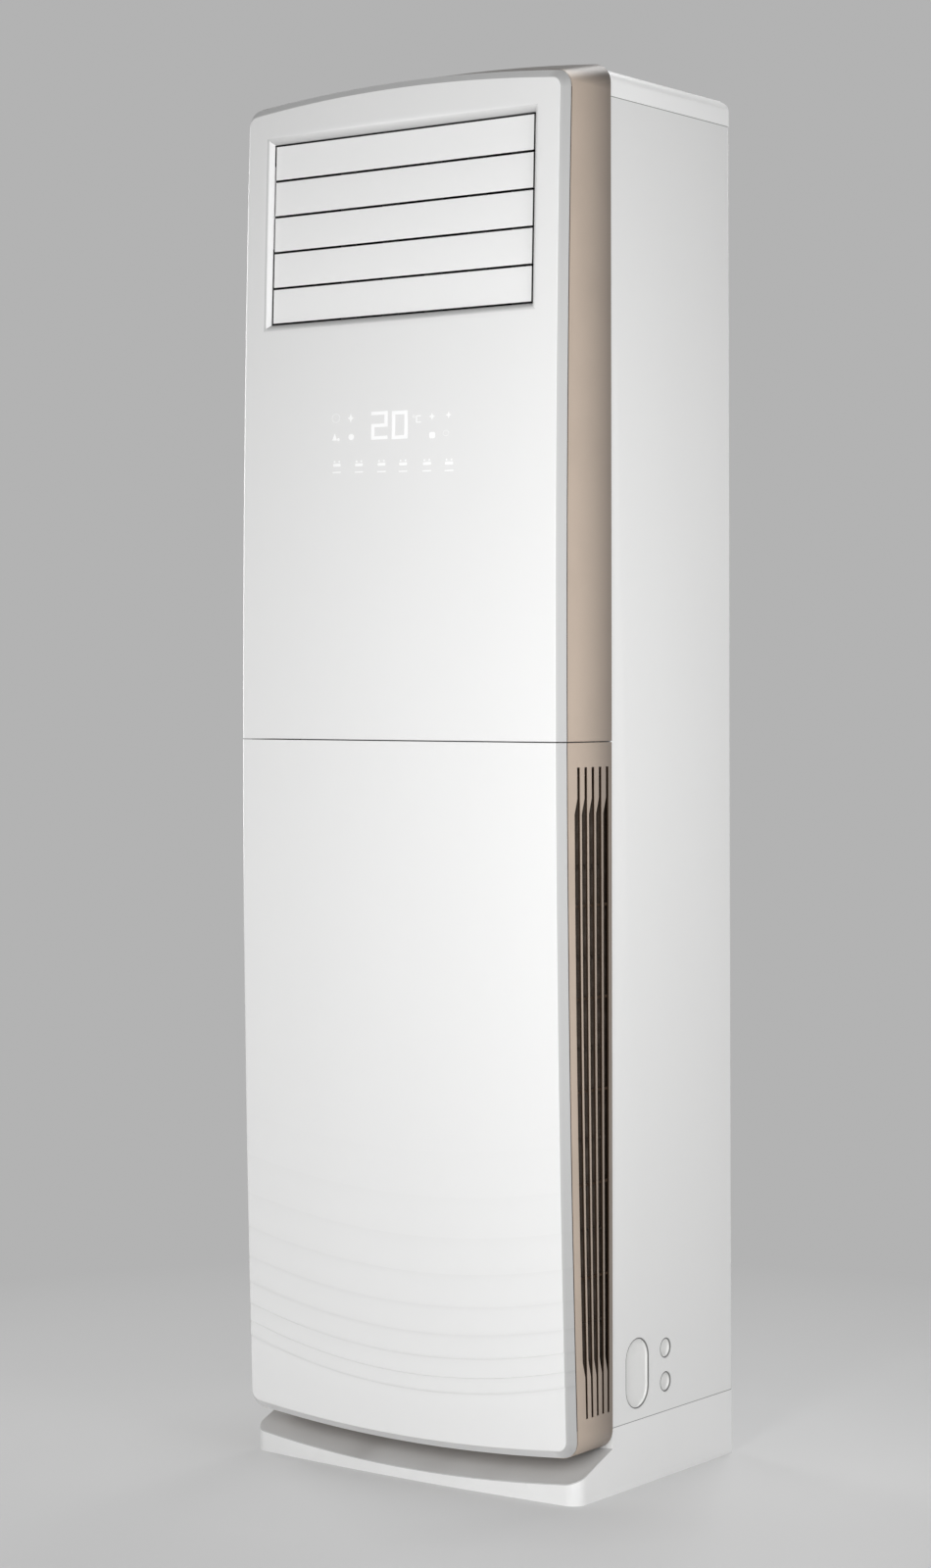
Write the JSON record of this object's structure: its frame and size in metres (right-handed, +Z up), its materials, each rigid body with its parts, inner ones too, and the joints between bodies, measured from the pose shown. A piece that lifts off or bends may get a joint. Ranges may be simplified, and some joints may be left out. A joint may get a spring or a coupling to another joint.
{
  "type": "floor standing air conditioner",
  "caption": "Tall cabinet air conditioner with bowed white front, louvered outlet above, side intake grilles below and a sloping plinth.",
  "frame": {"origin": "middle of the footprint, on the floor", "axes": "+Z up, the front faces -Y, +X is the viewer's right when facing the front"},
  "size_m": [0.53, 0.4104, 1.8359],
  "materials": {
    "plinth_plastic": "fine satin moulded white",
    "white_steel": "satin white powder coat on sheet steel",
    "galvanised": "zinc coated sheet",
    "screw_steel": "plated steel",
    "cover_plastic": "satin moulded white",
    "champagne": "champagne metallic paint on moulded plastic",
    "front_white": "gloss white moulded plastic",
    "filter_black": "dark frame and fine mesh",
    "white_plastic": "moulded white",
    "duct_black": "black moulded plastic",
    "stepper_steel": "plated can",
    "wheel_plastic": "dark glass filled plastic",
    "fin_aluminium": "bright close pitched fins",
    "copper": "drawn copper tube",
    "nut_brass": "machined brass",
    "hose_grey": "soft grey hose",
    "board_green": "solder mask",
    "terminal_cream": "cream moulding",
    "louver_white": "gloss white moulded plastic"
  },
  "bodies": {
    "cabinet": {"base": "plinth_plastic", "box_lid": "galvanised", "coil_baffles": "galvanised", "coil_core": "fin_aluminium", "coil_end_plates": "galvanised", "control_board": "board_green", "display_board": "board_green", "display_housing": "duct_black", "drain_hose": "hose_grey", "drain_pan": "white_plastic", "electrical_box": "galvanised", "fan_deck": "galvanised", "fan_motor": "stepper_steel", "front_bulkhead": "galvanised", "inlet_ring": "duct_black", "left_knock_outs": "white_plastic", "left_side_panel": "white_steel", "liquid_pipe": "copper", "louver_stepper": "stepper_steel", "outlet_duct": "duct_black", "rear_panel": "galvanised", "rear_screws": "screw_steel", "return_bends": "copper", "right_knock_outs": "white_plastic", "right_side_panel": "white_steel", "scroll_back_plate": "galvanised", "scroll_front_plate": "galvanised", "scroll_wrap": "galvanised", "suction_pipe": "copper", "terminal_block": "terminal_cream", "top_cover": "cover_plastic", "union_nuts": "nut_brass", "upper_front_panel": "front_white", "upper_trim": "champagne", "vane_stepper": "stepper_steel"},
    "lower_front": {"lower_front_panel": "front_white", "lower_trim": "champagne", "left_filter": "filter_black", "right_filter": "filter_black"},
    "blower": {"fan_wheel": "wheel_plastic", "fan_disc": "wheel_plastic", "fan_shaft": "screw_steel"},
    "louver_1": {"louver_1": "louver_white"},
    "louver_2": {"louver_2": "louver_white"},
    "louver_3": {"louver_3": "louver_white"},
    "louver_4": {"louver_4": "louver_white"},
    "louver_5": {"louver_5": "louver_white"},
    "louver_link": {"louver_link": "duct_black"},
    "vane_1": {"vane_1": "duct_black"},
    "vane_2": {"vane_2": "duct_black"},
    "vane_3": {"vane_3": "duct_black"},
    "vane_4": {"vane_4": "duct_black"},
    "vane_5": {"vane_5": "duct_black"},
    "vane_6": {"vane_6": "duct_black"},
    "vane_link": {"vane_link": "duct_black"}
  },
  "joints": [
    {"name": "lower_front_pull", "type": "slide", "parent": "cabinet", "child": "lower_front", "axis": [0, -1, 0], "range_m": [0, 0.2]},
    {"name": "blower_spin", "type": "hinge", "parent": "cabinet", "child": "blower", "pos_m": [0, 0.039, 0.43], "axis": [0, 1, 0], "continuous": true},
    {"name": "louver_1_tilt", "type": "hinge", "parent": "cabinet", "child": "louver_1", "pos_m": [0, -0.1768, 1.7266], "axis": [-1, 0, 0], "range_deg": [0, 85]},
    {"name": "louver_2_tilt", "type": "hinge", "parent": "cabinet", "child": "louver_2", "pos_m": [0, -0.17825, 1.67818], "axis": [-1, 0, 0], "range_deg": [0, 85]},
    {"name": "louver_3_tilt", "type": "hinge", "parent": "cabinet", "child": "louver_3", "pos_m": [0, -0.1797, 1.62976], "axis": [-1, 0, 0], "range_deg": [0, 85]},
    {"name": "louver_4_tilt", "type": "hinge", "parent": "cabinet", "child": "louver_4", "pos_m": [0, -0.18116, 1.58134], "axis": [-1, 0, 0], "range_deg": [0, 85]},
    {"name": "louver_5_tilt", "type": "hinge", "parent": "cabinet", "child": "louver_5", "pos_m": [0, -0.18261, 1.53292], "axis": [-1, 0, 0], "range_deg": [0, 85]},
    {"name": "louver_link_turn", "type": "hinge", "parent": "louver_3", "child": "louver_link", "pos_m": [-0.2245, -0.1657, 1.62976], "axis": [-1, 0, 0], "range_deg": [-85, 0]},
    {"name": "vane_1_swing", "type": "hinge", "parent": "cabinet", "child": "vane_1", "pos_m": [-0.17875, -0.118, 1.63], "axis": [0, 0, 1], "range_deg": [-40, 40]},
    {"name": "vane_2_swing", "type": "hinge", "parent": "cabinet", "child": "vane_2", "pos_m": [-0.10725, -0.118, 1.63], "axis": [0, 0, 1], "range_deg": [-40, 40]},
    {"name": "vane_3_swing", "type": "hinge", "parent": "cabinet", "child": "vane_3", "pos_m": [-0.03575, -0.118, 1.63], "axis": [0, 0, 1], "range_deg": [-40, 40]},
    {"name": "vane_4_swing", "type": "hinge", "parent": "cabinet", "child": "vane_4", "pos_m": [0.03575, -0.118, 1.63], "axis": [0, 0, 1], "range_deg": [-40, 40]},
    {"name": "vane_5_swing", "type": "hinge", "parent": "cabinet", "child": "vane_5", "pos_m": [0.10725, -0.118, 1.63], "axis": [0, 0, 1], "range_deg": [-40, 40]},
    {"name": "vane_6_swing", "type": "hinge", "parent": "cabinet", "child": "vane_6", "pos_m": [0.17875, -0.118, 1.63], "axis": [0, 0, 1], "range_deg": [-40, 40]},
    {"name": "vane_link_turn", "type": "hinge", "parent": "vane_3", "child": "vane_link", "pos_m": [-0.03575, -0.104, 1.4977], "axis": [0, 0, 1], "range_deg": [-40, 40]}
  ],
  "couplings": [
    {"joint": "louver_1_tilt", "follows": "louver_3_tilt", "ratio": 1},
    {"joint": "louver_2_tilt", "follows": "louver_3_tilt", "ratio": 1},
    {"joint": "louver_4_tilt", "follows": "louver_3_tilt", "ratio": 1},
    {"joint": "louver_5_tilt", "follows": "louver_3_tilt", "ratio": 1},
    {"joint": "louver_link_turn", "follows": "louver_3_tilt", "ratio": -1},
    {"joint": "vane_1_swing", "follows": "vane_3_swing", "ratio": 1},
    {"joint": "vane_2_swing", "follows": "vane_3_swing", "ratio": 1},
    {"joint": "vane_4_swing", "follows": "vane_3_swing", "ratio": 1},
    {"joint": "vane_5_swing", "follows": "vane_3_swing", "ratio": 1},
    {"joint": "vane_6_swing", "follows": "vane_3_swing", "ratio": 1},
    {"joint": "vane_link_turn", "follows": "vane_3_swing", "ratio": -1}
  ]
}
